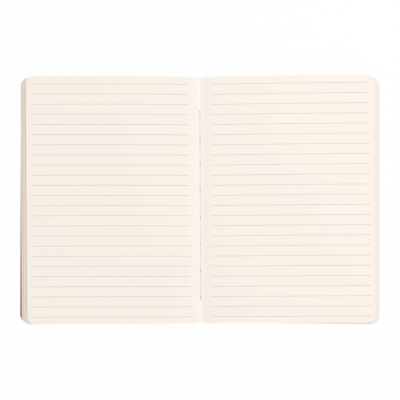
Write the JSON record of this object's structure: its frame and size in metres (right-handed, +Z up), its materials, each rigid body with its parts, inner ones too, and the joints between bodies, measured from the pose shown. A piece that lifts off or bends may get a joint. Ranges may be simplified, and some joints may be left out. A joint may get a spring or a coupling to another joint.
{
  "type": "open composition notebook",
  "caption": "Soft-cover ruled notebook lying open at a sewn fold, with humped pages, fanned rounded fore edges and two swinging card covers.",
  "frame": {"origin": "on the underside, at the middle of the spine, which is the bottom centre of the bounding box", "axes": "+X right across the spread, +Y towards the top of the pages, +Z up out of the pages"},
  "size_m": [0.3086, 0.2128, 0.0067],
  "materials": {
    "paper": "matte",
    "thread": "matte",
    "card": "matte"
  },
  "bodies": {
    "book": {"pages": "paper", "sewing_thread": "thread", "spine": "card"},
    "front_cover": {"front_cover": "card"},
    "back_cover": {"back_cover": "card"}
  },
  "joints": [
    {"name": "front_cover_fold", "type": "hinge", "parent": "book", "child": "front_cover", "pos_m": [-0.0036, 0, 0], "axis": [0, -1, 0], "range_deg": [0, 90]},
    {"name": "back_cover_fold", "type": "hinge", "parent": "book", "child": "back_cover", "pos_m": [0.0036, 0, 0], "axis": [0, 1, 0], "range_deg": [0, 90]}
  ]
}
